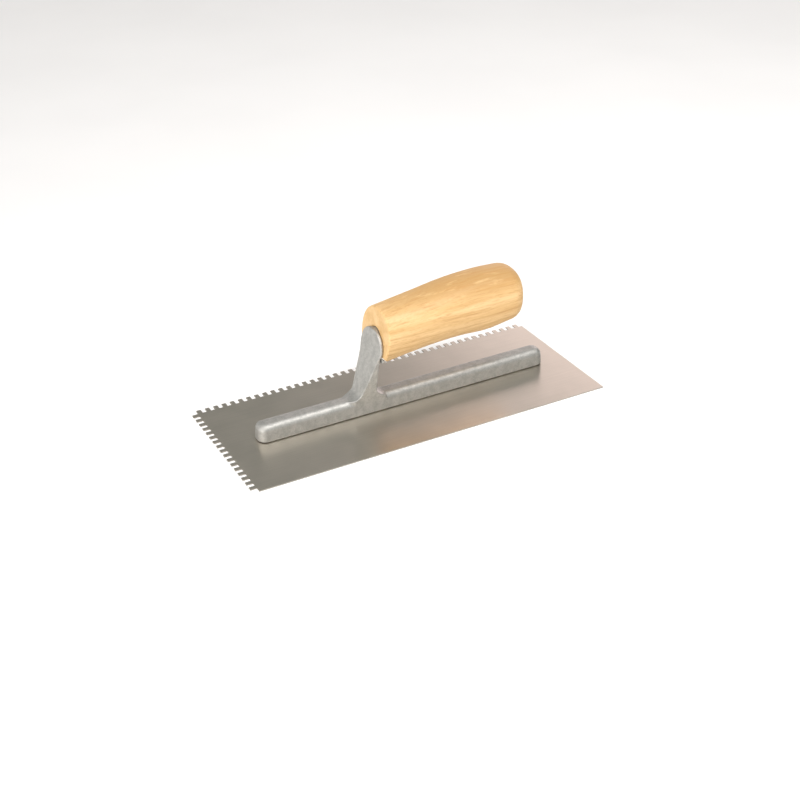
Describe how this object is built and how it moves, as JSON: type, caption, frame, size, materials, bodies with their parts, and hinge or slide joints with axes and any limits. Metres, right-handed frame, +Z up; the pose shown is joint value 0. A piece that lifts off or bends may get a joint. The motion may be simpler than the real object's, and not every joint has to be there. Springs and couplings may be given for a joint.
{
  "type": "notched trowel",
  "caption": "Flat rectangular trowel with square notches along one long and one short edge, a cast mounting bar with an upswept post, and a wooden handle above the blade",
  "frame": {"origin": "centre of the blade's underside, which is the centre of the bottom of the bounding box", "axes": "+X along the blade, away from its notched short edge; +Y towards its notched long edge; +Z up through the mounting to the handle"},
  "size_m": [0.2794, 0.1142, 0.0889],
  "materials": {
    "spring_steel": "satin rolled sheet",
    "zinc_steel": "zinc plated",
    "cast_aluminium": "cast and tumbled",
    "varnished_wood": "clear satin varnish"
  },
  "bodies": {
    "root": {"blade": "spring_steel", "blade_rivet_1": "zinc_steel", "blade_rivet_2": "zinc_steel", "blade_rivet_3": "zinc_steel", "blade_rivet_4": "zinc_steel", "blade_rivet_5": "zinc_steel", "blade_rivet_6": "zinc_steel", "mounting": "cast_aluminium", "handle": "varnished_wood", "handle_screw": "zinc_steel", "screw_washer": "zinc_steel"}
  },
  "joints": []
}
